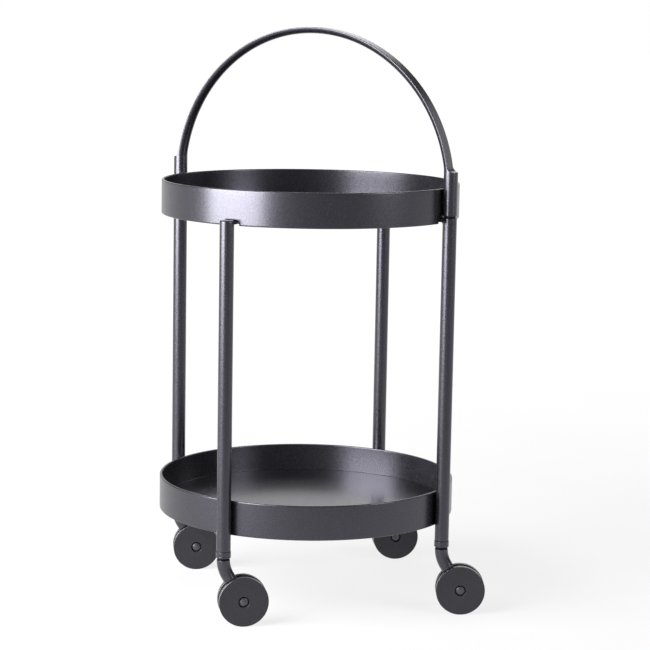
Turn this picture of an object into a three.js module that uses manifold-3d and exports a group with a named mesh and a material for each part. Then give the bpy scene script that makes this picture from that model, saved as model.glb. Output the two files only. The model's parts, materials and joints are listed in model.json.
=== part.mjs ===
// Round two-tray serving trolley on four twin-disc swivel casters.
// Millimetres, +Z up. The handle stands in the XZ plane and the posts on the X and Y axes. The origin is
// the middle of the floor area under the whole trolley, with its casters trailing as they do at rest.
import * as THREE from 'three';
import { mergeVertices } from 'three/addons/utils/BufferGeometryUtils.js';
import Module from 'manifold-3d';

const wasm = await Module();
wasm.setup();

// ---------- driving dimensions ----------
const gap = 0.3;                  // clearance between pieces that touch
const overcut = 1;                // how far a cutting shape runs past what it cuts

const trayRadius = 215;           // outside of both tray walls
const trayHeight = 49;
const wallThickness = 4;
const floorRise = 6.3;            // underside of the raised floor above the wall's bottom edge
const floorThickness = 3;
const edgeRadius = 1.2;           // rounding of the walls' edges
const lowerTrayZ = 127;           // bottom edge of the lower tray's wall
const upperTrayZ = 559;           // bottom edge of the upper tray's wall

const tubeRadius = 10;            // posts and handle hubs
const tubeBore = 8.5;
const postX = trayRadius + gap + tubeRadius;
const postTopZ = upperTrayZ + 8;
const postTopWall = 3;
const postBottomZ = 105.8;

const notchWidth = 27;            // in the upper wall's bottom edge, one at each post
const notchHeight = 8.8;
const notchCorner = 6;
const barWidth = 20;
const barThickness = 3.5;

const hubBottomZ = 570;           // the handle's round ends, above a shadow gap over the posts
const shoulderZ = 631.5;          // top of the round ends, where the half-round bow stands on them
const hubBoreTopZ = 612;
const bowThickness = 8.7;         // half-round bar: round inside, flat outside
const bowTopZ = 827;              // flat outer face at the crown
const haunchRadius = 60;          // flat outer face just above the shoulders
const spigotRadius = 8.1;
const spigotTopZ = 606;
const spigotBottomZ = 545;
const spigotNose = 6;              // length of its tapered lower end

const collarRadius = 10.45;       // caster socket under each post
const collarHeight = 8.8;
const plugLength = 20;
const washerRadius = 8.8;
const washerHeight = 2.4;
const pinRadius = 4;
const pinBottomZ = 82;
const pinTopZ = 118;
const pinHeadroom = 1;

const wheelRadius = 35;
const discThickness = 8;
const slotWidth = 10;             // between the two discs of a caster
const discEdge = 0.8;
const trail = 28;                 // wheel axle behind the swivel axis
const stemRadius = 9.3;
const stemBendRadius = 45;
const tongueThickness = 8.6;      // the stem's flat end, in the slot
const rimClearance = 1.2;         // between the stem's shoulder and the discs
const axleRadius = 4;
const recessRadius = 7.75;        // round the button in each disc's outer face
const recessDepth = 2.6;
const buttonRadius = 5.9;
const buttonHeight = 2.4;
const domeHeight = 1;              // of the button's rounded top
const domeFlatRadius = 4.1;        // where the dome flattens
const bearingClearance = 0.3;

// Facets round each kind of round piece, and along each bent one.
const traySegments = 64;
const wheelSegments = 36;
const rimCutSegments = 48;
const tubeSegments = 24;
const ringSegments = 20;
const pinSegments = 16;
const notchCornerSegments = 3;
const bowSteps = 56;
const bowSectionSegments = 6;
const stemSteps = 9;
const stemSectionSegments = 10;

// Posts by name: angle round the tray, and the way its caster trails at rest, both in degrees from +X.
const posts = [
  { name: 'right', angle: 0, heading: 30 },
  { name: 'back', angle: 90, heading: 36 },
  { name: 'left', angle: 180, heading: 36 },
  { name: 'front', angle: 270, heading: 39 },
];

// ---------- derived places ----------
const collarTopZ = postBottomZ - gap;
const collarBottomZ = collarTopZ - collarHeight;
const washerTopZ = collarBottomZ - gap;
const stemTopZ = washerTopZ - washerHeight - gap;
const discInnerY = slotWidth / 2;
const discOuterY = discInnerY + discThickness;
const flatOffset = tubeRadius - bowThickness; // from the tube's axis in to the bow's flat face

// ---------- materials ----------
const finish = (colour, roughness, metalness) =>
  new THREE.MeshStandardMaterial({ color: colour, roughness, metalness });
const powderCoat = finish(0x3e3d43, 0.5, 0.3);
const blackPlastic = finish(0x141416, 0.6, 0.0);
const wheelPlastic = finish(0x3a3a3f, 0.55, 0.0);
const buttonPlastic = finish(0x2c2c30, 0.35, 0.0);
const plainSteel = finish(0x8c8e90, 0.35, 0.9);

// ---------- helpers ----------
const degrees = (angle) => THREE.MathUtils.degToRad(angle);
const point = (x, y) => new THREE.Vector2(x, y);

// Merges shared corners and drops the flat triangles that revolved shapes leave on their axis.
function cleaned(geometry) {
  const bare = geometry.clone();
  bare.deleteAttribute('normal');
  bare.deleteAttribute('uv');
  const merged = mergeVertices(bare, 1e-4);
  const kept = [];
  const index = merged.getIndex().array;
  for (let i = 0; i < index.length; i += 3) {
    const [a, b, c] = [index[i], index[i + 1], index[i + 2]];
    if (a !== b && b !== c && c !== a) {
      kept.push(a, b, c);
    }
  }
  merged.setIndex(kept);
  return merged;
}

function toSolid(geometry) {
  const merged = cleaned(geometry);
  const mesh = new wasm.Mesh({
    numProp: 3,
    vertProperties: new Float32Array(merged.getAttribute('position').array),
    triVerts: new Uint32Array(merged.getIndex().array),
  });
  return new wasm.Manifold(mesh);
}

function toGeometry(solid) {
  const mesh = solid.getMesh();
  const geometry = new THREE.BufferGeometry();
  geometry.setAttribute('position', new THREE.BufferAttribute(mesh.vertProperties, 3));
  geometry.setIndex(new THREE.BufferAttribute(mesh.triVerts, 1));
  geometry.computeVertexNormals();
  return geometry;
}

// A profile of [radius, height] corners, going up the outside and down the inside, revolved about Z.
function revolved(profile, segments) {
  const geometry = new THREE.LatheGeometry(profile.map(([r, z]) => point(r, z)), segments);
  geometry.rotateX(Math.PI / 2);
  return cleaned(geometry);
}

function disc(radius, bottomZ, topZ, segments) {
  return revolved([[0, bottomZ], [radius, bottomZ], [radius, topZ], [0, topZ]], segments);
}

// A shape drawn in X and Z, thick along Y and centred on the XZ plane.
function slab(shape, thickness, curveSegments) {
  const geometry = new THREE.ExtrudeGeometry(shape, { depth: thickness, bevelEnabled: false, curveSegments });
  geometry.rotateX(Math.PI / 2);
  geometry.translate(0, thickness / 2, 0);
  return geometry;
}

function box(sizeX, sizeY, bottomZ, topZ) {
  const geometry = new THREE.BoxGeometry(sizeX, sizeY, topZ - bottomZ);
  geometry.translate(0, 0, (bottomZ + topZ) / 2);
  return geometry;
}

function place(parent, name, geometry, material) {
  const mesh = new THREE.Mesh(geometry, material);
  mesh.name = name;
  parent.add(mesh);
  return mesh;
}

// ---------- trays ----------
function trayWall() {
  const outer = trayRadius;
  const inner = trayRadius - wallThickness;
  const edge = edgeRadius;
  return revolved([
    [inner + edge, 0], [outer - edge, 0], [outer, edge], [outer, trayHeight - edge],
    [outer - edge, trayHeight], [inner + edge, trayHeight], [inner, trayHeight - edge], [inner, edge],
    [inner + edge, 0],
  ], traySegments);
}

function notchCutter(angle) {
  const half = notchWidth / 2;
  const cornerX = half - notchCorner;
  const cornerZ = notchHeight - notchCorner;
  const shape = new THREE.Shape();
  shape.moveTo(-half, -edgeRadius);
  shape.lineTo(half, -edgeRadius);
  shape.lineTo(half, cornerZ);
  shape.absarc(cornerX, cornerZ, notchCorner, 0, Math.PI / 2, false);
  shape.absarc(-cornerX, cornerZ, notchCorner, Math.PI / 2, Math.PI, false);
  shape.closePath();
  const cutter = slab(shape, wallThickness * 3, notchCornerSegments);
  cutter.translate(0, trayRadius - wallThickness / 2, 0);
  cutter.rotateZ(degrees(angle - 90));
  return toSolid(cutter);
}

function notchedTrayWall() {
  let wall = toSolid(trayWall());
  for (const { angle } of posts) {
    wall = wall.subtract(notchCutter(angle));
  }
  return toGeometry(wall);
}

const trayFloor = () =>
  disc(trayRadius - wallThickness - gap, floorRise, floorRise + floorThickness, traySegments);

// ---------- handle ----------
// The axis that the handle's half-round bow follows from hub to hub: a three-centred arch.
class ArchCurve extends THREE.Curve {
  constructor() {
    super();
    const haunch = haunchRadius + flatOffset;
    const footZ = shoulderZ + gap;
    const rise = bowTopZ + flatOffset - footZ;
    const haunchX = postX - haunch;
    this.footZ = footZ;
    this.haunch = haunch;
    this.haunchX = haunchX;
    this.crown = (haunchX ** 2 + rise ** 2 - haunch ** 2) / (2 * (rise - haunch));
    this.crownZ = footZ + rise - this.crown;
    this.turn = Math.atan2(footZ - this.crownZ, haunchX);
    this.haunchLength = haunch * this.turn;
    this.halfLength = this.haunchLength + this.crown * (Math.PI / 2 - this.turn);
  }

  getPoint(t, target = new THREE.Vector3()) {
    const side = t <= 0.5 ? 1 : -1;
    const along = this.halfLength * (1 - Math.abs(2 * t - 1));
    if (along <= this.haunchLength) {
      const a = along / this.haunch;
      const x = this.haunchX + this.haunch * Math.cos(a);
      return target.set(side * x, 0, this.footZ + this.haunch * Math.sin(a));
    }
    const a = this.turn + (along - this.haunchLength) / this.crown;
    return target.set(side * this.crown * Math.cos(a), 0, this.crownZ + this.crown * Math.sin(a));
  }
}

// The bow's section is half round; y points out of the arch, so the flat face is on the outside.
function bow() {
  const flatAngle = Math.asin(flatOffset / tubeRadius);
  const section = new THREE.Shape();
  section.absarc(0, 0, tubeRadius, Math.PI + flatAngle, Math.PI * 2 - flatAngle, false);
  section.closePath();
  return new THREE.ExtrudeGeometry(section, {
    steps: bowSteps,
    bevelEnabled: false,
    curveSegments: bowSectionSegments,
    extrudePath: new ArchCurve(),
  });
}

// A hub's bore is open below, for the spigot.
function hub() {
  return revolved([
    [tubeBore, hubBottomZ], [tubeRadius, hubBottomZ], [tubeRadius, shoulderZ], [0, shoulderZ],
    [0, hubBoreTopZ], [tubeBore, hubBoreTopZ], [tubeBore, hubBottomZ],
  ], tubeSegments);
}

function spigot() {
  const noseRadius = spigotRadius - spigotNose / 2;
  return revolved([
    [0, spigotBottomZ], [noseRadius, spigotBottomZ], [spigotRadius, spigotBottomZ + spigotNose],
    [spigotRadius, spigotTopZ], [0, spigotTopZ],
  ], ringSegments);
}

function buildHandle(parent) {
  place(parent, 'handle_bow', bow(), powderCoat);
  for (const [name, x] of [['right', postX], ['left', -postX]]) {
    place(parent, `handle_hub_${name}`, hub(), powderCoat).position.x = x;
    place(parent, `handle_spigot_${name}`, spigot(), blackPlastic).position.x = x;
  }
}

// ---------- frame ----------
// The left and right posts are open at the top for the handle's spigots; the other two are closed.
function post(isOpen) {
  const edge = edgeRadius;
  const top = isOpen
    ? [[tubeBore, postTopZ]]
    : [[0, postTopZ], [0, postTopZ - postTopWall], [tubeBore, postTopZ - postTopWall]];
  return revolved([
    [tubeBore, postBottomZ], [tubeRadius, postBottomZ], [tubeRadius, postTopZ - edge],
    [tubeRadius - edge, postTopZ], ...top, [tubeBore, postBottomZ],
  ], tubeSegments);
}

// Two flat bars under the raised floor, halved into each other where they cross.
function supportBar(isUpper) {
  const topZ = upperTrayZ + floorRise - gap;
  const bottomZ = topZ - barThickness;
  const middleZ = (topZ + bottomZ) / 2;
  const bar = toSolid(box(trayRadius * 2, barWidth, bottomZ, topZ));
  const cutWidth = barWidth + gap * 2;
  const cut = isUpper
    ? box(cutWidth, barWidth * 2, bottomZ - overcut, middleZ + gap / 2)
    : box(cutWidth, barWidth * 2, middleZ - gap / 2, topZ + overcut);
  return toGeometry(bar.subtract(toSolid(cut)));
}

function buildFrame(parent) {
  for (const { name, angle } of posts) {
    const mesh = place(parent, `post_${name}`, post(angle % 180 === 0), powderCoat);
    mesh.position.set(postX * Math.cos(degrees(angle)), postX * Math.sin(degrees(angle)), 0);
  }
  place(parent, 'support_bar_side', supportBar(true), powderCoat);
  place(parent, 'support_bar_cross', supportBar(false), powderCoat).rotation.z = Math.PI / 2;
}

// ---------- casters ----------
// Each is built round its swivel axis, trailing along +X.
function socket() {
  const bore = pinRadius + bearingClearance;
  const plug = tubeBore - gap;
  const plugTopZ = collarTopZ + plugLength;
  const boreTopZ = pinTopZ + pinHeadroom;
  return revolved([
    [bore, collarBottomZ], [collarRadius, collarBottomZ], [collarRadius, collarTopZ], [plug, collarTopZ],
    [plug, plugTopZ], [0, plugTopZ], [0, boreTopZ], [bore, boreTopZ], [bore, collarBottomZ],
  ], tubeSegments);
}

function washer() {
  const bore = pinRadius + bearingClearance;
  const bottom = washerTopZ - washerHeight;
  return revolved([
    [bore, bottom], [washerRadius, bottom], [washerRadius, washerTopZ], [bore, washerTopZ], [bore, bottom],
  ], ringSegments);
}

// The stem's axis: straight down, then a bend, then straight to the wheel's axle.
class StemCurve extends THREE.Curve {
  constructor() {
    super();
    const drop = stemTopZ - wheelRadius;
    // The straight line after the bend passes through the axle: R(1 - cos a) + L sin a = trail and
    // R sin a + L cos a = drop.
    const reach = Math.hypot(stemBendRadius - trail, drop);
    this.straight = Math.sqrt(reach ** 2 - stemBendRadius ** 2);
    this.turn = Math.atan2(drop, stemBendRadius - trail) - Math.atan2(this.straight, stemBendRadius);
    this.length = stemBendRadius * this.turn + this.straight;
  }

  getPoint(t, target = new THREE.Vector3()) {
    const along = t * this.length;
    const a = Math.min(along / stemBendRadius, this.turn);
    const beyond = Math.max(along - stemBendRadius * this.turn, 0);
    const x = stemBendRadius * (1 - Math.cos(a)) + beyond * Math.sin(a);
    const z = stemTopZ - stemBendRadius * Math.sin(a) - beyond * Math.cos(a);
    return target.set(x, 0, z);
  }
}

// A round bar along Y through the axle.
function axleBar(radius, fromY, toY, segments) {
  const geometry = disc(radius, fromY, toY, segments);
  geometry.rotateX(-Math.PI / 2);
  geometry.translate(trail, 0, wheelRadius);
  return geometry;
}

function stem() {
  const section = new THREE.Shape();
  section.absarc(0, 0, stemRadius, 0, Math.PI * 2, false);
  const bar = toSolid(new THREE.ExtrudeGeometry(section, {
    steps: stemSteps,
    bevelEnabled: false,
    curveSegments: stemSectionSegments,
    extrudePath: new StemCurve(),
  }));
  const half = tongueThickness / 2;
  const cheek = wheelRadius + rimClearance;
  const beyond = stemRadius + overcut;
  const pinHole = disc(pinRadius + gap, pinBottomZ - gap, stemTopZ + overcut, pinSegments);
  const shaped = bar
    .subtract(toSolid(axleBar(cheek, half, beyond, rimCutSegments)))
    .subtract(toSolid(axleBar(cheek, -beyond, -half, rimCutSegments)))
    .add(toSolid(axleBar(stemRadius, -half, half, ringSegments)))
    .subtract(toSolid(axleBar(axleRadius + gap, -beyond, beyond, pinSegments)))
    .subtract(toSolid(pinHole));
  return toGeometry(shaped);
}

function wheelDisc() {
  const bore = axleRadius + bearingClearance;
  const geometry = revolved([
    [bore, discInnerY], [wheelRadius, discInnerY], [wheelRadius, discOuterY - discEdge],
    [wheelRadius - discEdge, discOuterY], [recessRadius, discOuterY],
    [recessRadius, discOuterY - recessDepth], [bore, discOuterY - recessDepth], [bore, discInnerY],
  ], wheelSegments);
  geometry.rotateX(Math.PI / 2);
  return geometry;
}

// Domed cap on the axle's end, sitting in the disc's recess.
function button() {
  const base = discOuterY - recessDepth + gap;
  const top = base + buttonHeight;
  const geometry = revolved([
    [0, base], [buttonRadius, base], [buttonRadius, top - domeHeight],
    [domeFlatRadius, top - domeHeight / 3], [0, top],
  ], pinSegments);
  geometry.rotateX(Math.PI / 2);
  return geometry;
}

function buildCaster(parent, name, x, y, heading) {
  const caster = new THREE.Group();
  caster.position.set(x, y, 0);
  caster.rotation.z = degrees(heading);
  parent.add(caster);
  place(caster, `caster_socket_${name}`, socket(), powderCoat);
  place(caster, `swivel_washer_${name}`, washer(), blackPlastic);
  place(caster, `swivel_pin_${name}`, disc(pinRadius, pinBottomZ, pinTopZ, pinSegments), plainSteel);
  place(caster, `caster_stem_${name}`, stem(), powderCoat);
  const axleEnd = discOuterY - recessDepth;
  place(caster, `wheel_axle_${name}`, axleBar(axleRadius, -axleEnd, axleEnd, pinSegments), plainSteel);
  for (const [letter, turn] of [['a', 0], ['b', Math.PI]]) {
    const side = new THREE.Group();
    side.position.set(trail, 0, wheelRadius);
    side.rotation.z = turn;
    caster.add(side);
    place(side, `wheel_disc_${name}_${letter}`, wheelDisc(), wheelPlastic);
    place(side, `axle_button_${name}_${letter}`, button(), buttonPlastic);
  }
}

// ---------- assembly ----------
const trolley = new THREE.Group();

place(trolley, 'lower_tray_wall', trayWall(), powderCoat).position.z = lowerTrayZ;
place(trolley, 'lower_tray_floor', trayFloor(), powderCoat).position.z = lowerTrayZ;
place(trolley, 'upper_tray_wall', notchedTrayWall(), powderCoat).position.z = upperTrayZ;
place(trolley, 'upper_tray_floor', trayFloor(), powderCoat).position.z = upperTrayZ;
buildHandle(trolley);
buildFrame(trolley);
for (const { name, angle, heading } of posts) {
  buildCaster(trolley, name, postX * Math.cos(degrees(angle)), postX * Math.sin(degrees(angle)), heading);
}

// The casters trail to one side, so the tray's axis stands off the middle of the floor area.
const bounds = new THREE.Box3().setFromObject(trolley, true);
const middle = bounds.getCenter(new THREE.Vector3());
trolley.position.set(-middle.x, -middle.y, 0);

const part = new THREE.Group();
part.add(trolley);

export default part;
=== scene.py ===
"""The looks of a round two-tray serving trolley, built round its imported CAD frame. Metres, +Z up."""

import json
import math

import bmesh
import bpy
from mathutils import Matrix, Vector


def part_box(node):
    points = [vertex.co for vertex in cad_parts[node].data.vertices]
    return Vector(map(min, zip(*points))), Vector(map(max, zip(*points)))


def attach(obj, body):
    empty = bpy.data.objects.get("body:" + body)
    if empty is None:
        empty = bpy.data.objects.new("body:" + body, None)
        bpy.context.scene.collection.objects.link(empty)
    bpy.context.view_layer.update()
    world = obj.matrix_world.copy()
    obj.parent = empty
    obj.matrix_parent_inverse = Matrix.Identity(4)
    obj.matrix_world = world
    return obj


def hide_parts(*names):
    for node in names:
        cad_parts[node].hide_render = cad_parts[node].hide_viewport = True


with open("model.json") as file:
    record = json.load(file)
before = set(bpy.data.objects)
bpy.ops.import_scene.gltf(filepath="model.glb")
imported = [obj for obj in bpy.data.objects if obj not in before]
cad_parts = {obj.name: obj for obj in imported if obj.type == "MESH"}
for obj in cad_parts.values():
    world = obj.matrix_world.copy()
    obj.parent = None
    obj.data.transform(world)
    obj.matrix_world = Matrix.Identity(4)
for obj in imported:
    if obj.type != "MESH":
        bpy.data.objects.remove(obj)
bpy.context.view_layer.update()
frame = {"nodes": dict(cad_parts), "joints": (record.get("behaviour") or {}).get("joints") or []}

# ---------- sizes and places from the frame ----------
MM = 0.001
POSTS = ("right", "back", "left", "front")
HANDLE_SIDES = ("right", "left")
joints = {joint["name"]: joint for joint in frame["joints"]}


def middle(node):
    low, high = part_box(node)
    return (low + high) / 2


def half_width(node):
    low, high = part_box(node)
    return (high.x - low.x) / 2


AXIS = Vector((middle("upper_tray_wall").x, middle("upper_tray_wall").y, 0))
TRAY_RADIUS = half_width("upper_tray_wall")
TRAY_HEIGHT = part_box("upper_tray_wall")[1].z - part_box("upper_tray_wall")[0].z
TUBE_RADIUS = half_width("post_front")
POST_REACH = middle("post_right").x - AXIS.x
POST_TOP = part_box("post_front")[1].z
POST_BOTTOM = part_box("post_front")[0].z
HUB_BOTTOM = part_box("handle_hub_right")[0].z
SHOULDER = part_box("handle_hub_right")[1].z
BOW_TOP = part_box("handle_bow")[1].z
BAR_BOTTOM, BAR_TOP = (corner.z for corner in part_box("support_bar_side"))
COLLAR_RADIUS = half_width("caster_socket_right")
COLLAR_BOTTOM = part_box("caster_socket_right")[0].z
WASHER_RADIUS = half_width("swivel_washer_right")
WASHER_BOTTOM, WASHER_TOP = (corner.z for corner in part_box("swivel_washer_right"))
STEM_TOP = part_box("caster_stem_right")[1].z
WHEEL_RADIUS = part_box("wheel_disc_right_a")[1].z / 2

# ---------- sizes that the frame's boxes don't give ----------
WALL = 4 * MM
WALL_EDGE = 1.5 * MM
NOTCH_HALF = 12 * MM
NOTCH_HEIGHT = 7.4 * MM
NOTCH_CORNER = 5 * MM
BAR_EDGE = 0.6 * MM
TUBE_BORE = 8.5 * MM
BOW_FLAT = -1.3 * MM              # the bow's flat outer face, from the tube's axis
BOW_EDGE = 0.9 * MM
HAUNCH_RADIUS = 61.3 * MM         # of the bow's axis just above the shoulders
SHOULDER_FILLET = 8 * MM
SHOULDER_EDGE = 1 * MM
HUB_BORE_TOP = 612 * MM
HUB_EDGE = 1.1 * MM
STEM_RADIUS = 9.3 * MM
STEM_BEND = 45 * MM
TONGUE = 8.6 * MM
RIM_CLEARANCE = 1.2 * MM
SLOT_HALF = 5 * MM                # from a caster's middle plane to its discs
DISC = 8 * MM
DISC_EDGE = 0.9 * MM
BORE = 4.3 * MM                   # round the pins and the axles
RECESS_RADIUS = 7.75 * MM
RECESS_DEPTH = 5.5 * MM
RECESS_EDGE = 0.7 * MM
BUTTON_RADIUS = 5.9 * MM
BUTTON_PROUD = 0.1 * MM           # beyond the disc's face
WELD = 5 * MM
BAR_HALF = 10 * MM
SOCKET_GAP = 0.3 * MM             # between a post and its caster socket

TINY = 1e-7
MERGE = 1e-6


# ---------- mesh helpers ----------
def mesh_from(name, points, faces, is_closed=True):
    mesh = bpy.data.meshes.new(name)
    mesh.from_pydata([tuple(p) for p in points], [], faces)
    work = bmesh.new()
    work.from_mesh(mesh)
    bmesh.ops.remove_doubles(work, verts=work.verts, dist=MERGE)
    if is_closed:
        bmesh.ops.recalc_face_normals(work, faces=work.faces)
    for face in work.faces:
        face.smooth = True
    work.to_mesh(mesh)
    work.free()
    return mesh


def rounded(corners, closed=True, steps=5):
    """Turns corners of (x, y, radius) into outline points, with an arc at each corner."""
    points = []
    last = len(corners) - 1
    for i, (x, y, radius) in enumerate(corners):
        here = Vector((x, y))
        if radius <= 0 or (not closed and i in (0, last)):
            points.append((x, y))
            continue
        before = (Vector(corners[i - 1][:2]) - here).normalized()
        after = (Vector(corners[(i + 1) % len(corners)][:2]) - here).normalized()
        half = before.angle(after) / 2
        centre = here + (before + after).normalized() * (radius / math.sin(half))
        start = here + before * (radius / math.tan(half)) - centre
        end = here + after * (radius / math.tan(half)) - centre
        first = math.atan2(start.y, start.x)
        turn = (math.atan2(end.y, end.x) - first + math.pi) % math.tau - math.pi
        for step in range(steps + 1):
            angle = first + turn * step / steps
            across = centre.x + radius * math.cos(angle)
            points.append((across, centre.y + radius * math.sin(angle)))
    return points


def lathe(name, profile, segments):
    """Revolves (radius, height) points about Z. They end on the axis or close on themselves."""
    points, faces, rings = [], [], []
    for radius, height in profile:
        if radius < TINY:
            rings.append([len(points)] * segments)
            points.append((0, 0, height))
            continue
        rings.append([len(points) + k for k in range(segments)])
        for k in range(segments):
            angle = math.tau * k / segments
            points.append((radius * math.cos(angle), radius * math.sin(angle), height))
    pairs = list(zip(rings, rings[1:]))
    if profile[0][0] >= TINY:
        pairs.append((rings[-1], rings[0]))
    for low, high in pairs:
        for k in range(segments):
            n = (k + 1) % segments
            corners = list(dict.fromkeys([low[k], low[n], high[n], high[k]]))
            if len(corners) > 2:
                faces.append(corners)
    return mesh_from(name, points, faces)


def loft(name, rings):
    """Joins rings of as many points each, and closes the first and the last."""
    count = len(rings[0])
    points = [p for ring in rings for p in ring]
    faces = [list(range(count))[::-1], [len(points) - count + k for k in range(count)]]
    for start in range(0, len(points) - count, count):
        for k in range(count):
            n = (k + 1) % count
            faces.append([start + k, start + n, start + count + n, start + count + k])
    return mesh_from(name, points, faces)


def prism(name, outline, bottom, top):
    """An outline of (x, y) points, anticlockwise, standing from bottom to top."""
    return loft(name, [[(x, y, z) for x, y in outline] for z in (bottom, top)])


def finished(mesh, *modifiers):
    """The mesh with each (type, settings) modifier applied."""
    holder = bpy.data.objects.new(mesh.name, mesh)
    bpy.context.scene.collection.objects.link(holder)
    for kind, settings in modifiers:
        modifier = holder.modifiers.new(kind.lower(), kind)
        for key, value in settings.items():
            setattr(modifier, key, value)
    depsgraph = bpy.context.evaluated_depsgraph_get()
    made = bpy.data.meshes.new_from_object(holder.evaluated_get(depsgraph))
    made.name = mesh.name
    bpy.data.objects.remove(holder)
    return made


def beveled(width, segments=3, angle=50):
    return ("BEVEL", {
        "width": width, "segments": segments,
        "limit_method": "ANGLE", "angle_limit": math.radians(angle),
    })


EVEN_FACES = ("WEIGHTED_NORMAL", {"weight": 80, "keep_sharp": True})


def piece(name, mesh, body, material, stands_for, at, turn=0.0):
    """Places a mesh as a named piece on a CAD body, turned about Z by an angle in radians."""
    shown = bpy.data.objects.new(name, mesh)
    bpy.context.scene.collection.objects.link(shown)
    if not mesh.materials:
        mesh.materials.append(material)
    shown.matrix_world = Matrix.Translation(at) @ Matrix.Rotation(turn, 4, "Z")
    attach(shown, body)
    if stands_for:
        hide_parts(*stands_for)
    return shown


# ---------- materials ----------
class Nodes:
    """Small helper for writing a node material."""

    def __init__(self, name):
        self.material = bpy.data.materials.new(name)
        self.material.use_nodes = True
        self.tree = self.material.node_tree
        self.shader = self.tree.nodes["Principled BSDF"]
        self.place = self.add("ShaderNodeTexCoord").outputs["Object"]

    def add(self, kind, **settings):
        node = self.tree.nodes.new(kind)
        for key, value in settings.items():
            setattr(node, key, value)
        return node

    def link(self, output, socket):
        self.tree.links.new(output, socket)

    def noise(self, size, detail=2.0, roughness=0.5):
        """Noise whose grains are about `size` metres across."""
        node = self.add("ShaderNodeTexNoise")
        node.inputs["Scale"].default_value = 1 / size
        node.inputs["Detail"].default_value = detail
        node.inputs["Roughness"].default_value = roughness
        self.link(self.place, node.inputs["Vector"])
        return node.outputs["Fac"]

    def ramp(self, value, stops):
        node = self.add("ShaderNodeValToRGB")
        elements = node.color_ramp.elements
        while len(elements) < len(stops):
            elements.new(0.5)
        for element, (position, colour) in zip(elements, stops):
            element.position = position
            element.color = (*colour, 1)
        self.link(value, node.inputs["Fac"])
        return node.outputs["Color"]

    def spread(self, value, low, high):
        """Maps the middle of a noise's range to low..high."""
        node = self.add("ShaderNodeMapRange")
        node.inputs["From Min"].default_value = 0.3
        node.inputs["From Max"].default_value = 0.7
        node.inputs["To Min"].default_value = low
        node.inputs["To Max"].default_value = high
        self.link(value, node.inputs["Value"])
        return node.outputs["Result"]

    def mix(self, first, second, blend):
        """Blends two colours in full."""
        node = self.add("ShaderNodeMix", data_type="RGBA", blend_type=blend)
        sockets = {socket.identifier: socket for socket in node.inputs}
        sockets["Factor_Float"].default_value = 1.0
        self.link(first, sockets["A_Color"])
        self.link(second, sockets["B_Color"])
        return next(s for s in node.outputs if s.identifier == "Result_Color")

    def bump(self, height, distance, strength, under=None):
        node = self.add("ShaderNodeBump")
        node.inputs["Strength"].default_value = strength
        node.inputs["Distance"].default_value = distance
        self.link(height, node.inputs["Height"])
        if under is not None:
            self.link(under, node.inputs["Normal"])
        return node.outputs["Normal"]


def coat_material(name, dark, light, roughness, grain, depth, specks):
    """Fine-grained paint: two tones, paler specks, uneven gloss and an orange-peel relief."""
    nodes = Nodes(name)
    tone = nodes.ramp(nodes.noise(grain, 3), [(0.32, dark), (0.68, light)])
    cloud = nodes.ramp(nodes.noise(60 * MM, 2), [(0.3, (0.9, 0.9, 0.9)), (0.7, (1.08, 1.08, 1.08))])
    tone = nodes.mix(tone, cloud, "MULTIPLY")
    speck = nodes.ramp(nodes.noise(grain * 0.6, 1), [(0.66, (0, 0, 0)), (0.74, (specks,) * 3)])
    tone = nodes.mix(tone, speck, "ADD")
    nodes.link(tone, nodes.shader.inputs["Base Color"])
    gloss = nodes.spread(nodes.noise(grain * 1.5, 2), roughness - 0.05, roughness + 0.05)
    nodes.link(gloss, nodes.shader.inputs["Roughness"])
    peel = nodes.bump(nodes.noise(grain * 3, 1), depth * 0.6, 0.5)
    relief = nodes.bump(nodes.noise(grain, 2), depth, 0.6, peel)
    nodes.link(relief, nodes.shader.inputs["Normal"])
    return nodes.material


def powder_coat(name, roughness, depth):
    material = coat_material(
        name, (0.0030, 0.0028, 0.0036), (0.0070, 0.0066, 0.0084),
        roughness, 0.9 * MM, depth, 0.05)
    shader = material.node_tree.nodes["Principled BSDF"]
    shader.inputs["Specular IOR Level"].default_value = 0.8
    shader.inputs["Specular Tint"].default_value = (0.98, 0.96, 1.14, 1)
    return material


def wheel_plastic():
    material = coat_material(
        "wheel_plastic", (0.0120, 0.0116, 0.0142), (0.0290, 0.0280, 0.0340),
        0.34, 0.6 * MM, 0.01 * MM, 0.02)
    material.node_tree.nodes["Principled BSDF"].inputs["Specular IOR Level"].default_value = 0.22
    return material


def wheel_tread():
    material = coat_material(
        "wheel_tread", (0.0165, 0.0160, 0.0195), (0.0240, 0.0232, 0.0280),
        0.27, 0.5 * MM, 0.003 * MM, 0.0)
    material.node_tree.nodes["Principled BSDF"].inputs["Specular IOR Level"].default_value = 0.9
    return material


def button_plastic():
    return coat_material(
        "button_plastic", (0.028, 0.028, 0.032), (0.036, 0.036, 0.041),
        0.3, 0.5 * MM, 0.006 * MM, 0.01)


def black_plastic():
    material = coat_material(
        "black_plastic", (0.0015, 0.0015, 0.0018), (0.003, 0.003, 0.0034),
        0.55, 0.6 * MM, 0.012 * MM, 0.0)
    material.node_tree.nodes["Principled BSDF"].inputs["Specular IOR Level"].default_value = 0.12
    return material


def plain_steel():
    """Turned steel, hidden inside the casters, with a fine noisy grain, uneven gloss and a faint
    relief.
    """
    nodes = Nodes("plain_steel")
    tone = nodes.ramp(nodes.noise(0.8 * MM, 3), [(0.3, (0.36, 0.36, 0.37)), (0.7, (0.5, 0.5, 0.5))])
    nodes.link(tone, nodes.shader.inputs["Base Color"])
    nodes.shader.inputs["Metallic"].default_value = 1.0
    nodes.link(nodes.spread(nodes.noise(0.5 * MM, 2), 0.3, 0.42), nodes.shader.inputs["Roughness"])
    nodes.link(nodes.bump(nodes.noise(0.4 * MM, 2), 0.01 * MM, 0.5), nodes.shader.inputs["Normal"])
    return nodes.material


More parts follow.
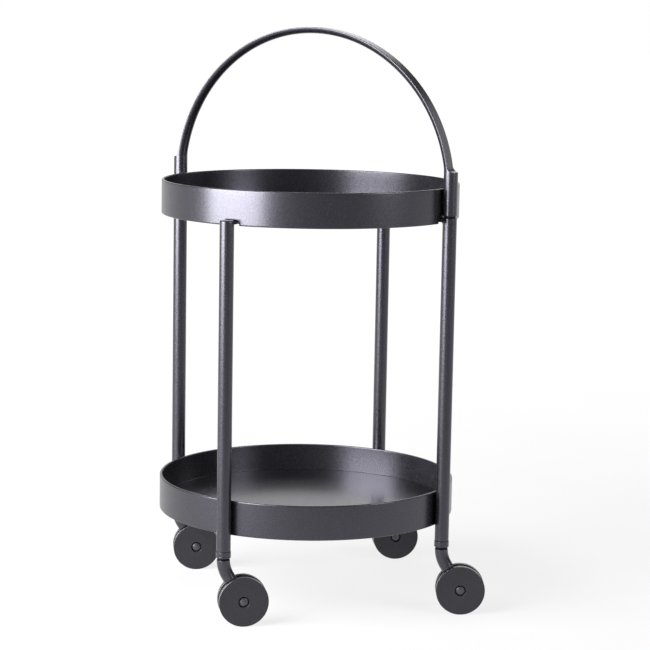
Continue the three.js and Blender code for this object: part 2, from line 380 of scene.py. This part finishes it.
COAT = powder_coat("powder_coat", 0.29, 0.022 * MM)
FLAT_COAT = powder_coat("powder_coat_on_sheet", 0.2, 0.012 * MM)
WHEEL = wheel_plastic()
TREAD = wheel_tread()
BUTTON = button_plastic()
BLACK = black_plastic()
STEEL = plain_steel()


# ---------- trays ----------
def notch_columns():
    """Columns over half a notch, from its middle out: (distance from it, arc angle or None)."""
    straight = NOTCH_HALF - NOTCH_CORNER
    columns = [(straight * k / 3, None) for k in range(3)]
    for angle in (90, 75, 60, 45):
        turn = math.radians(angle)
        columns.append((straight + NOTCH_CORNER * math.cos(turn), turn))
    return columns


def tray_wall(name, has_notches):
    """A round wall with rounded edges, standing on z 0, with or without a notch over each post."""
    margin = 3 * MM
    arc = [math.radians(angle) for angle in (0, 15, 30, 45)]
    arc_base = NOTCH_HEIGHT - NOTCH_CORNER
    rows = [0.0] + [arc_base + NOTCH_CORNER * math.sin(a) for a in arc]
    corner_row = len(rows) - 1
    rows.append(NOTCH_HEIGHT + margin)
    rows += [TRAY_HEIGHT * share for share in (0.4, 0.6, 0.8, 1.0)]
    near = notch_columns()
    corner_column = len(near) - 1
    quarter = math.pi / 2 * TRAY_RADIUS
    start = NOTCH_HALF + margin
    spread = 26
    far = [(start + (quarter / 2 - start) * k / spread, None) for k in range(spread + 1)]
    half = near + far
    right_side = [(d, c, i) for i, (d, c) in enumerate(half)]
    left_side = [(-d, c, i) for d, c, i in reversed(right_side)]
    sides = left_side[1:] + right_side[1:]
    points, grid = [], []
    for turn in range(4):
        for distance, turned, index in sides:
            column = []
            for row, height in enumerate(rows):
                s, z = abs(distance), height
                if has_notches and index < corner_column and row < corner_row:
                    column.append(None)
                    continue
                if has_notches and index == corner_column and row < corner_row:
                    lift = max(0.0, min(1.0, (height - arc_base) / NOTCH_CORNER))
                    s = NOTCH_HALF - NOTCH_CORNER * (1 - math.cos(math.asin(lift)))
                if has_notches and index <= corner_column and row == corner_row:
                    z = arc_base + NOTCH_CORNER * math.sin(turned) if turned else NOTCH_HEIGHT
                angle = turn * math.pi / 2 + math.copysign(s, distance) / TRAY_RADIUS
                column.append(len(points))
                across, along = math.cos(angle), math.sin(angle)
                points.append((TRAY_RADIUS * across, TRAY_RADIUS * along, z))
            grid.append(column)
    faces = []
    for k, column in enumerate(grid):
        other = grid[(k + 1) % len(grid)]
        for row in range(len(rows) - 1):
            corners = [column[row], other[row], other[row + 1], column[row + 1]]
            if None not in corners:
                faces.append(corners)
    skin = mesh_from(name, points, faces, is_closed=False)
    thick = ("SOLIDIFY", {"thickness": WALL, "offset": -1.0, "use_even_offset": True})
    return finished(skin, thick, beveled(WALL_EDGE, 4), EVEN_FACES)


def floor_mesh(name, bottom, top):
    """A flat round sheet run into the wall, with a small hollow where it meets the wall."""
    turned_up = 1 * MM
    overlap = 0.1 * MM
    radius = TRAY_RADIUS - WALL + overlap
    profile = [(0, bottom), (radius * 0.5, bottom), (radius - 2 * MM, bottom), (radius, bottom)]
    for step in range(7):
        angle = math.radians(90 * step / 6)
        out = radius - turned_up + turned_up * math.cos(angle)
        profile.append((out, top + turned_up * (1 - math.sin(angle))))
    profile += [(radius * share, top) for share in (0.96, 0.75, 0.5, 0.25)] + [(0, top)]
    return finished(lathe(name, profile, 192), EVEN_FACES)


def build_tray(name, body, has_notches):
    wall_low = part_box(f"{name}_tray_wall")[0]
    floor_low, floor_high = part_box(f"{name}_tray_floor")
    wall = tray_wall(f"{name}_wall", has_notches)
    at = AXIS + Vector((0, 0, wall_low.z))
    piece(f"tray_wall_{name}", wall, body, COAT, [f"{name}_tray_wall"], at)
    floor = floor_mesh(f"{name}_floor", 0, floor_high.z - floor_low.z)
    at = AXIS + Vector((0, 0, floor_low.z))
    nodes = [f"{name}_tray_floor"]
    piece(f"tray_floor_{name}", floor, body, FLAT_COAT, nodes, at)


# ---------- handle ----------
def flat_section(flat):
    """Outline, as (out, side) points, of the round bar cut flat at `flat` beyond its axis."""
    centre_out = flat - BOW_EDGE
    centre_side = math.sqrt((TUBE_RADIUS - BOW_EDGE) ** 2 - centre_out ** 2)
    meet = math.atan2(centre_side, centre_out)
    round_steps, corner_steps, flat_steps = 32, 4, 10
    points = []
    for k in range(round_steps + 1):
        angle = meet + (math.tau - 2 * meet) * k / round_steps
        points.append((TUBE_RADIUS * math.cos(angle), TUBE_RADIUS * math.sin(angle)))
    for k in range(1, corner_steps + 1):
        angle = -meet + meet * k / corner_steps
        out = centre_out + BOW_EDGE * math.cos(angle)
        points.append((out, -centre_side + BOW_EDGE * math.sin(angle)))
    for k in range(1, flat_steps):
        points.append((flat, -centre_side + 2 * centre_side * k / flat_steps))
    for k in range(corner_steps):
        angle = meet * k / corner_steps
        out = centre_out + BOW_EDGE * math.cos(angle)
        points.append((out, centre_side + BOW_EDGE * math.sin(angle)))
    return points


def round_section(radius, pattern):
    """A circle whose points lie in the same directions as the pattern's."""
    return [(radius * x / math.hypot(x, y), radius * y / math.hypot(x, y)) for x, y in pattern]


def handle_mesh():
    """Hub, shoulder, bow, shoulder and hub in one bar."""
    haunch_x = POST_REACH - HAUNCH_RADIUS
    rise = BOW_TOP - BOW_FLAT - SHOULDER
    crown = (haunch_x ** 2 + rise ** 2 - HAUNCH_RADIUS ** 2) / (2 * (rise - HAUNCH_RADIUS))
    crown_z = SHOULDER + rise - crown
    haunch_turn = math.atan2(SHOULDER - crown_z, haunch_x)
    ledge = BOW_FLAT + SHOULDER_FILLET
    pattern = flat_section(ledge)
    rings = []

    def upright(z, section):
        rings.append([(POST_REACH + out, side, z) for out, side in section])

    def along(angle, section):
        if angle < haunch_turn:
            centre_x, centre_z, radius = haunch_x, SHOULDER, HAUNCH_RADIUS
        else:
            centre_x, centre_z, radius = 0.0, crown_z, crown
        across, up = math.cos(angle), math.sin(angle)
        rings.append([
            (centre_x + (radius + out) * across, side, centre_z + (radius + out) * up)
            for out, side in section
        ])

    mouth = 0.4 * MM
    upright(HUB_BORE_TOP, round_section(TUBE_BORE, pattern))
    upright(HUB_BOTTOM + mouth, round_section(TUBE_BORE, pattern))
    upright(HUB_BOTTOM, round_section(TUBE_BORE + mouth, pattern))
    for step in range(5):
        angle = math.radians(90 * step / 4)
        radius = TUBE_RADIUS - HUB_EDGE * (1 - math.sin(angle))
        upright(HUB_BOTTOM + HUB_EDGE * (1 - math.cos(angle)), round_section(radius, pattern))
    for share in (0.3, 0.6, 0.9):
        upright(HUB_BOTTOM + (SHOULDER - HUB_BOTTOM) * share, round_section(TUBE_RADIUS, pattern))
    for step in range(5):
        angle = math.radians(90 * step / 4)
        sunk = SHOULDER_EDGE * (1 - math.cos(angle))
        section = []
        full = round_section(TUBE_RADIUS, pattern)
        for (out, side), (ledge_out, ledge_side) in zip(full, pattern):
            room = math.hypot(out - ledge_out, side - ledge_side)
            share = min(sunk, room) / TUBE_RADIUS
            section.append((out * (1 - share), side * (1 - share)))
        upright(SHOULDER - SHOULDER_EDGE * (1 - math.sin(angle)), section)
    upright(SHOULDER, pattern)
    fillet_steps = 9
    for step in range(1, fillet_steps + 1):
        angle = math.radians(90 * step / fillet_steps)
        rise_here = SHOULDER_FILLET * (1 - math.cos(angle))
        flat = BOW_FLAT + SHOULDER_FILLET * (1 - math.sin(angle))
        along(rise_here / HAUNCH_RADIUS, flat_section(flat))
    start = SHOULDER_FILLET / HAUNCH_RADIUS
    bow_steps = 72
    for step in range(1, bow_steps + 1):
        share = step / bow_steps
        along(start + (math.pi / 2 - start) * share, flat_section(BOW_FLAT))
    mirrored = [[(-x, y, z) for x, y, z in ring] for ring in reversed(rings[:-1])]
    return finished(loft("handle", rings + mirrored), EVEN_FACES)


def spigot_mesh(low, high, radius):
    nose = 6 * MM
    profile = rounded([
        (0, low, 0), (radius - nose / 2, low, 1 * MM), (radius, low + nose, 1 * MM),
        (radius, high, 0.5 * MM), (0, high, 0),
    ], closed=False)
    return finished(lathe("spigot", profile, 48), EVEN_FACES)


def build_handle():
    nodes = ["handle_bow", "handle_hub_right", "handle_hub_left"]
    piece("handle", handle_mesh(), "upper_tray", COAT, nodes, AXIS)
    for side in HANDLE_SIDES:
        node = f"handle_spigot_{side}"
        low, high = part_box(node)
        mesh = spigot_mesh(0, high.z - low.z, half_width(node))
        at = Vector((middle(node).x, middle(node).y, low.z))
        piece(f"spigot_{side}", mesh, "upper_tray", BLACK, [node], at)


# ---------- frame ----------
def post_mesh(is_open):
    """A tube, closed and rounded at the top unless the handle's spigot goes in there."""
    height = POST_TOP - POST_BOTTOM
    foot_edge = 0.5 * MM
    if is_open:
        top = [(TUBE_RADIUS, height, 0.9 * MM), (TUBE_BORE, height, 0.4 * MM)]
        bottom = [(TUBE_BORE, 0, 0.2 * MM), (TUBE_RADIUS, 0, foot_edge)]
        profile = rounded(bottom + top)
    else:
        cap = 3 * MM
        profile = rounded([
            (0, height - cap, 0), (TUBE_BORE, height - cap, 0), (TUBE_BORE, 0, 0.2 * MM),
            (TUBE_RADIUS, 0, foot_edge), (TUBE_RADIUS, height, 2.4 * MM), (0, height, 0),
        ], closed=False)
    return finished(lathe("post", profile, 64), EVEN_FACES)


def bar_mesh(is_upper):
    """A flat bar, its ends hollowed to fit the posts, halved where it crosses the other bar."""
    thick = BAR_TOP - BAR_BOTTOM
    hollow_radius = TUBE_RADIUS + 0.1 * MM
    flattening = 0.98                 # opens the hollow slightly towards the bar's edges
    corner_share = 0.8                # of the half width, beyond which the end is straight
    steps = 8
    end = []
    for step in range(steps + 1):
        side = -BAR_HALF + 2 * BAR_HALF * step / steps
        depth = math.sqrt(hollow_radius ** 2 - side ** 2 * flattening)
        end.append((POST_REACH - depth, side))
    reach = max(x for x, y in end if abs(y) < BAR_HALF * corner_share)
    end = [(min(x, reach), y) for x, y in end]
    outline = end + [(-x, -y) for x, y in end]
    bar = prism("support_bar", outline, 0, thick)
    play = 0.15 * MM
    overcut = 1 * MM
    x, y = BAR_HALF + 2 * play, 2 * BAR_HALF
    if is_upper:
        low, high = -overcut, thick / 2 + play
    else:
        low, high = thick / 2 - play, thick + overcut
    halving = prism("halving", [(-x, -y), (x, -y), (x, y), (-x, y)], low, high)
    return cut(bar, halving, beveled(BAR_EDGE, 2, 60), EVEN_FACES)


def cut(mesh, tool, *modifiers):
    """The mesh with the tool mesh taken away, and then the modifiers applied."""
    cutter = bpy.data.objects.new("cutter", tool)
    bpy.context.scene.collection.objects.link(cutter)
    settings = {"operation": "DIFFERENCE", "object": cutter, "solver": "EXACT"}
    made = finished(mesh, ("BOOLEAN", settings), *modifiers)
    bpy.data.objects.remove(cutter)
    return made


def joined(*meshes):
    """One mesh out of several, each keeping its own surface."""
    holders = []
    for mesh in meshes:
        holder = bpy.data.objects.new(mesh.name, mesh)
        bpy.context.scene.collection.objects.link(holder)
        holders.append(holder)
    with bpy.context.temp_override(active_object=holders[0], selected_editable_objects=holders):
        bpy.ops.object.join()
    mesh = holders[0].data
    bpy.data.objects.remove(holders[0])
    return mesh


def weld_mesh():
    """A hollow-faced weld under a bar's end, reaching inwards along -X from the post."""
    into_post = 0.6 * MM
    into_bar = 0.3 * MM
    rings = []
    half = 7 * MM
    across = 12
    steps = 8
    for k in range(across + 1):
        side = -half + 2 * half * k / across
        surface = -math.sqrt(TUBE_RADIUS ** 2 - side ** 2)
        sunk = surface + into_post
        size = WELD * math.sqrt(1 - 0.75 * (side / half) ** 2)
        ring = [(sunk, into_bar), (surface - size, into_bar)]
        for step in range(steps + 1):
            angle = math.radians(90 * step / steps)
            x = surface - size * (1 - math.sin(angle))
            ring.append((x, -size * (1 - math.cos(angle))))
        ring.append((sunk, -size))
        rings.append([(x, side, z) for x, z in ring])
    return finished(loft("weld", rings), EVEN_FACES)


def build_frame():
    angles = {"right": 0, "back": 90, "left": 180, "front": 270}
    weld = weld_mesh()
    for name in POSTS:
        at = middle(f"post_{name}")
        at.z = POST_BOTTOM
        mesh = post_mesh(name in HANDLE_SIDES)
        piece(f"post_tube_{name}", mesh, "frame", COAT, [f"post_{name}"], at)
        at = Vector((at.x, at.y, BAR_BOTTOM))
        turn = math.radians(angles[name])
        piece(f"bar_weld_{name}", weld, "frame", COAT, (), at, turn)
    at = AXIS + Vector((0, 0, BAR_BOTTOM))
    side, cross = bar_mesh(True), bar_mesh(False)
    piece("bar_side", side, "frame", COAT, ["support_bar_side"], at)
    piece("bar_cross", cross, "frame", COAT, ["support_bar_cross"], at, math.pi / 2)


# ---------- casters ----------
def collar_mesh(height):
    """The socket's collar, standing on z 0, with rounded edges and a fine groove near its foot."""
    line = 2.2 * MM                   # height of the groove
    groove = 0.25 * MM
    groove_half = 0.3 * MM
    groove_edge = 0.1 * MM
    corners = [
        (BORE, 0, 0.2 * MM), (COLLAR_RADIUS, 0, 0.8 * MM),
        (COLLAR_RADIUS, line - groove_half, groove_edge),
        (COLLAR_RADIUS - groove, line, groove_edge),
        (COLLAR_RADIUS, line + groove_half, groove_edge),
        (COLLAR_RADIUS, height, 0.5 * MM), (BORE, height, 0.2 * MM),
    ]
    return finished(lathe("collar", rounded(corners, steps=4), 64), EVEN_FACES)


def washer_mesh(height):
    inner_edge, outer_edge = 0.2 * MM, 0.4 * MM
    corners = [
        (BORE, 0, inner_edge), (WASHER_RADIUS, 0, outer_edge),
        (WASHER_RADIUS, height, outer_edge), (BORE, height, inner_edge),
    ]
    return finished(lathe("washer", rounded(corners, steps=3), 48), EVEN_FACES)


def stem_path(trail):
    """Points and directions of the stem's axis, from the swivel axis to the wheels' axle."""
    drop = STEM_TOP - WHEEL_RADIUS
    reach = math.hypot(STEM_BEND - trail, drop)
    straight = math.sqrt(reach ** 2 - STEM_BEND ** 2)
    turn = math.atan2(drop, STEM_BEND - trail) - math.atan2(straight, STEM_BEND)
    path = []
    bend_steps = 16
    for step in range(bend_steps + 1):
        a = turn * step / bend_steps
        path.append((STEM_BEND * (1 - math.cos(a)), STEM_TOP - STEM_BEND * math.sin(a), a))
    x, z, a = path[-1]
    for share in (0.25, 0.5, 0.75, 1.0):
        path.append((x + straight * share * math.sin(a), z - straight * share * math.cos(a), a))
    return path


def across_y(mesh, x, z):
    """Lays a mesh that stands along Z down along Y, through (x, z)."""
    mesh.transform(Matrix.Translation((x, 0, z)) @ Matrix.Rotation(-math.pi / 2, 4, "X"))
    return mesh


def stem_mesh(trail):
    """A bent bar with a rounded top edge, its lower end cut flat on both sides for the discs."""
    top_edge = 0.6 * MM
    top_shares = ((1, 0), (0.62, 0.08), (0.29, 0.29), (0.08, 0.62), (0, 1))    # in and down
    segments = 48
    angles = [math.tau * k / segments for k in reversed(range(segments))]
    rings = []
    for inward, down in top_shares:
        radius = STEM_RADIUS - inward * top_edge
        z = STEM_TOP - down * top_edge
        rings.append([(radius * math.cos(angle), radius * math.sin(angle), z) for angle in angles])
    for x, z, a in stem_path(trail)[1:]:
        ring = []
        for angle in angles:
            out = STEM_RADIUS * math.cos(angle)
            side = STEM_RADIUS * math.sin(angle)
            ring.append((x + out * math.cos(a), side, z + out * math.sin(a)))
        rings.append(ring)
    bar = loft("stem", rings)
    half = TONGUE / 2
    beyond = STEM_RADIUS + 1 * MM
    cheek = WHEEL_RADIUS + RIM_CLEARANCE
    for low, high in ((half, beyond), (-beyond, -half)):
        tool = lathe("cheek", [(0, low), (cheek, low), (cheek, high), (0, high)], 128)
        bar = cut(bar, across_y(tool, trail, WHEEL_RADIUS))
    bar = finished(bar, beveled(0.5 * MM, 2, 45), EVEN_FACES)
    inside = half - 0.05 * MM
    edge = 0.5 * MM
    tip = lathe("tip", rounded([
        (0, -inside, 0), (STEM_RADIUS, -inside, edge), (STEM_RADIUS, inside, edge), (0, inside, 0),
    ], closed=False, steps=2), 48)
    return joined(bar, finished(across_y(tip, trail, WHEEL_RADIUS), EVEN_FACES))


def disc_mesh():
    """A wheel disc, its outer face up, standing from its inner face at z SLOT_HALF."""
    outer = SLOT_HALF + DISC
    corners = [
        (BORE, SLOT_HALF, 0.3 * MM), (WHEEL_RADIUS, SLOT_HALF, DISC_EDGE),
        (WHEEL_RADIUS, outer, DISC_EDGE),
        (RECESS_RADIUS, outer, RECESS_EDGE), (RECESS_RADIUS, outer - RECESS_DEPTH, 0.3 * MM),
        (BORE, outer - RECESS_DEPTH, 0.2 * MM),
    ]
    mesh = finished(lathe("disc", rounded(corners), 128), EVEN_FACES)
    mesh.materials.append(WHEEL)
    mesh.materials.append(TREAD)
    for face in mesh.polygons:
        is_outermost = face.center.xy.length > WHEEL_RADIUS - DISC_EDGE
        if is_outermost and abs(face.normal.z) < 0.8:
            face.material_index = 1
    return mesh


def button_mesh():
    """The domed cap on the axle's end, in the disc's recess."""
    above_recess = 0.3 * MM
    base = SLOT_HALF + DISC - RECESS_DEPTH + above_recess
    top = SLOT_HALF + DISC + BUTTON_PROUD
    dome = 1.5 * MM
    edge = 0.3 * MM
    inner = BUTTON_RADIUS - edge
    sphere = (inner ** 2 + dome ** 2) / (2 * dome)
    profile = [(0, base), (BUTTON_RADIUS, base)]
    for step in range(4):
        angle = math.radians(30 * step)
        profile.append((inner + edge * math.cos(angle), top - dome - edge + edge * math.sin(angle)))
    for step in range(1, 8):
        radius = inner * (1 - step / 8)
        profile.append((radius, top - sphere + math.sqrt(sphere ** 2 - radius ** 2)))
    profile.append((0, top))
    return finished(lathe("button", profile, 48), EVEN_FACES)


def both_sides(mesh):
    """A mesh that stands along Z laid down along Y, for side a, and turned round for side b."""
    mesh.transform(Matrix.Rotation(math.pi / 2, 4, "X"))
    other = mesh.copy()
    other.transform(Matrix.Rotation(math.pi, 4, "Z"))
    return {"a": mesh, "b": other}


def build_casters():
    collar = collar_mesh(POST_BOTTOM - COLLAR_BOTTOM - SOCKET_GAP)
    washer = washer_mesh(WASHER_TOP - WASHER_BOTTOM)
    trail = (Vector(joints["wheel_spin_right_a"]["pos_m"]).xy
             - Vector(joints["caster_swivel_right"]["pos_m"]).xy).length
    stem = stem_mesh(trail)
    discs = both_sides(disc_mesh())
    buttons = both_sides(button_mesh())
    for name in POSTS:
        swivel = Vector(joints[f"caster_swivel_{name}"]["pos_m"])
        axle = Vector(joints[f"wheel_spin_{name}_a"]["pos_m"])
        heading = math.atan2(axle.y - swivel.y, axle.x - swivel.x)
        foot = Vector((swivel.x, swivel.y, 0))
        at = foot + Vector((0, 0, COLLAR_BOTTOM))
        nodes = [f"caster_socket_{name}"]
        piece(f"collar_{name}", collar, "frame", COAT, nodes, at)
        at = foot + Vector((0, 0, WASHER_BOTTOM))
        nodes = [f"swivel_washer_{name}"]
        piece(f"washer_{name}", washer, "frame", BLACK, nodes, at)
        body = f"caster_{name}"
        nodes = [f"caster_stem_{name}"]
        piece(f"stem_{name}", stem, body, COAT, nodes, foot, heading)
        for letter in "ab":
            end = f"{name}_{letter}"
            piece(f"disc_{end}", discs[letter], f"wheel_{end}", WHEEL,
                  [f"wheel_disc_{end}"], axle, heading)
            piece(f"button_{end}", buttons[letter], body, BUTTON,
                  [f"axle_button_{end}"], axle, heading)
        for node in (f"swivel_pin_{name}", f"wheel_axle_{name}"):
            shown = frame["nodes"][node]
            shown.data.materials.clear()
            shown.data.materials.append(STEEL)


# ---------- studio ----------
CAMERA_TURN = math.radians(30.11)
TOWARDS_CAMERA = Vector((math.sin(CAMERA_TURN), -math.cos(CAMERA_TURN), 0))
CAMERA_RIGHT = Vector((math.cos(CAMERA_TURN), math.sin(CAMERA_TURN), 0))


def build_camera():
    distance, height = 3.128, 0.8587
    pitch, roll, yaw = math.radians(8.40), math.radians(1.0), math.radians(0.44)
    camera = bpy.data.objects.new("camera", bpy.data.cameras.new("camera"))
    bpy.context.scene.collection.objects.link(camera)
    camera.data.lens = 120.03
    camera.data.sensor_width = 36
    camera.data.clip_end = 200
    level = CAMERA_RIGHT * math.sin(yaw) - TOWARDS_CAMERA * math.cos(yaw)
    forward = level * math.cos(pitch) - Vector((0, 0, math.sin(pitch)))
    right = CAMERA_RIGHT * math.cos(yaw) + TOWARDS_CAMERA * math.sin(yaw)
    up = right.cross(forward)
    rolled_right = right * math.cos(roll) + up * math.sin(roll)
    rolled_up = up * math.cos(roll) - right * math.sin(roll)
    turned = Matrix((rolled_right, rolled_up, -forward)).transposed().to_4x4()
    place = AXIS + TOWARDS_CAMERA * distance + Vector((0, 0, height))
    camera.matrix_world = Matrix.Translation(place) @ turned
    bpy.context.scene.camera = camera


def soft_light(name, turned, distance, height, size, power, aimed_at):
    """An area light, `turned` degrees round to the right from the camera's side."""
    angle = math.radians(turned)
    direction = TOWARDS_CAMERA * math.cos(angle) + CAMERA_RIGHT * math.sin(angle)
    place = AXIS + direction * distance + Vector((0, 0, height))
    light = bpy.data.lights.new(name, "AREA")
    light.shape = "RECTANGLE"
    light.size, light.size_y = size
    light.energy = power
    lamp = bpy.data.objects.new(name, light)
    bpy.context.scene.collection.objects.link(lamp)
    lamp.location = place
    aim = AXIS + Vector((0, 0, aimed_at)) - place
    lamp.rotation_euler = aim.to_track_quat("-Z", "Y").to_euler()


def build_floor():
    """A wide floor of dark grey paper, made pale by a painted glow of its own that grows towards the
    back.
    """
    reach, thick = 40, 0.02
    profile = [(0, -thick), (reach, -thick), (reach, 0), (0, 0)]
    floor = bpy.data.objects.new("studio_floor", lathe("studio_floor", profile, 96))
    bpy.context.scene.collection.objects.link(floor)
    paper = Nodes("paper_with_painted_glow")
    tone = paper.ramp(paper.noise(0.4, 3), [(0.3, (0.11, 0.11, 0.11)), (0.7, (0.13, 0.13, 0.13))])
    paper.link(tone, paper.shader.inputs["Base Color"])
    paper.shader.inputs["Roughness"].default_value = 0.9
    paper.shader.inputs["Specular IOR Level"].default_value = 0.1
    paper.shader.inputs["Emission Strength"].default_value = 1.0
    depth = paper.add("ShaderNodeVectorMath", operation="DOT_PRODUCT")
    depth.inputs[1].default_value = -TOWARDS_CAMERA
    paper.link(paper.place, depth.inputs[0])
    along = paper.add("ShaderNodeMapRange")
    along.inputs["From Min"].default_value = -1.4
    along.inputs["From Max"].default_value = 3.6
    paper.link(depth.outputs["Value"], along.inputs["Value"])
    # painted glow: the floor gives off light of its own, weakest near the trolley and strongest far
    # behind it, standing in for even studio light
    glows = ((0.0, 0.45), (0.18, 0.76), (0.4, 0.82), (0.9, 1.0))
    glow = paper.ramp(along.outputs["Result"], [(place, (level,) * 3) for place, level in glows])
    paper.link(glow, paper.shader.inputs["Emission Color"])
    floor.data.materials.append(paper.material)


def build_surroundings():
    """White behind the trolley as the camera sees it, and dark grey on the other sides."""
    world = bpy.data.worlds.new("studio")
    bpy.context.scene.world = world
    world.use_nodes = True
    tree = world.node_tree
    background = tree.nodes["Background"]
    direction = tree.nodes.new("ShaderNodeTexCoord").outputs["Generated"]
    along = tree.nodes.new("ShaderNodeVectorMath")
    along.operation = "DOT_PRODUCT"
    along.inputs[1].default_value = -TOWARDS_CAMERA
    tree.links.new(direction, along.inputs[0])
    ramp = tree.nodes.new("ShaderNodeMapRange")
    ramp.interpolation_type = "SMOOTHSTEP"
    ramp.inputs["From Min"].default_value = 0.80
    ramp.inputs["From Max"].default_value = 0.95
    ramp.inputs["To Min"].default_value = 0.11
    ramp.inputs["To Max"].default_value = 1.0
    tree.links.new(along.outputs["Value"], ramp.inputs["Value"])
    tree.links.new(ramp.outputs["Result"], background.inputs["Strength"])
    background.inputs["Color"].default_value = (1, 1, 1, 1)


def build_studio():
    build_floor()
    build_surroundings()
    soft_light("key", -57, 2.0, 1.15, (1.8, 1.8), 190, 0.65)
    soft_light("fill", 60, 2.2, 1.3, (0.8, 1.1), 30, 0.6)
    soft_light("side", 118, 2.2, 1.2, (1.0, 1.4), 4, 0.6)
    soft_light("back", 180, 3.0, 1.9, (2.4, 0.9), 12, 0.3)
    bpy.context.scene.view_settings.view_transform = "Standard"


build_camera()
build_studio()
build_tray("upper", "upper_tray", True)
build_tray("lower", "frame", False)
build_handle()
build_frame()
build_casters()
